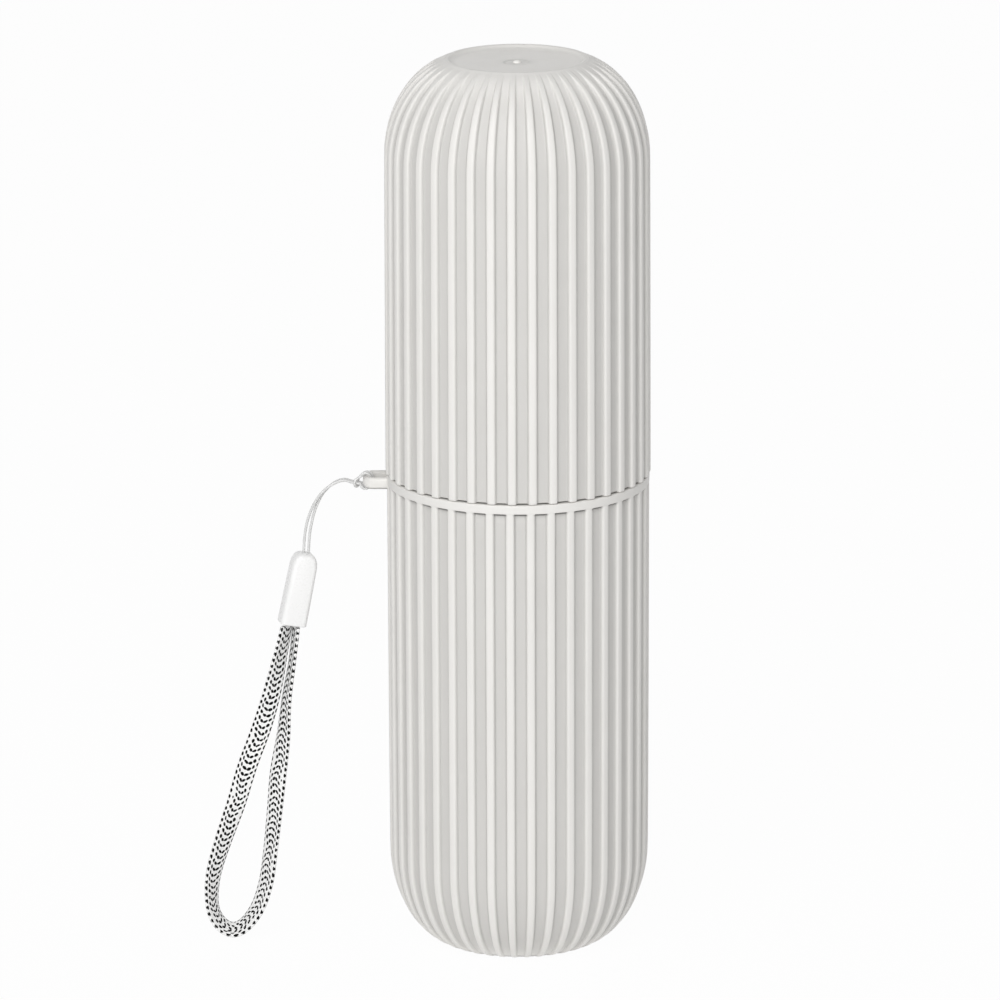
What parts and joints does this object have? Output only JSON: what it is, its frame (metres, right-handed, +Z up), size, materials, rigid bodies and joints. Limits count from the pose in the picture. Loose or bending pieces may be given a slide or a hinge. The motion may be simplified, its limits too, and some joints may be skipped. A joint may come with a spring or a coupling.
{
  "type": "toothbrush travel case",
  "caption": "Ribbed two-piece capsule case for a toothbrush and paste, with a push-fit cap that doubles as a rinse cup, a loose divider and a wrist lanyard.",
  "frame": {"origin": "centre of the flat foot that the case stands on, on the axis of both cups", "axes": "+Z up along the case's axis, towards the dished top; -Y towards the viewer; the lanyard's eyelet is on the -X side"},
  "size_m": [0.1028, 0.0604, 0.2074],
  "materials": {
    "shell": "satin off-white moulded plastic",
    "divider": "satin off-white moulded plastic",
    "string": "clear white nylon cord",
    "clip": "smooth white moulded plastic",
    "strap": "flat braid of white yarn with black dashes"
  },
  "bodies": {
    "lower_case": {"lower_cup": "shell"},
    "cap": {"upper_cup": "shell"},
    "divider": {"brush_divider": "divider"},
    "lanyard": {"lanyard_string": "string", "strap_clip": "clip", "wrist_strap": "strap"}
  },
  "joints": [
    {"name": "cap_lift", "type": "slide", "parent": "lower_case", "child": "cap", "axis": [0, 0, 1], "range_m": [0, 0.13]},
    {"name": "divider_lift", "type": "slide", "parent": "lower_case", "child": "divider", "axis": [0, 0, 1], "range_m": [0, 0.09]},
    {"name": "lanyard_swing", "type": "hinge", "parent": "lower_case", "child": "lanyard", "pos_m": [-0.0346, 0, 0.1094], "axis": [0, 1, 0], "range_deg": [0, 90]}
  ]
}
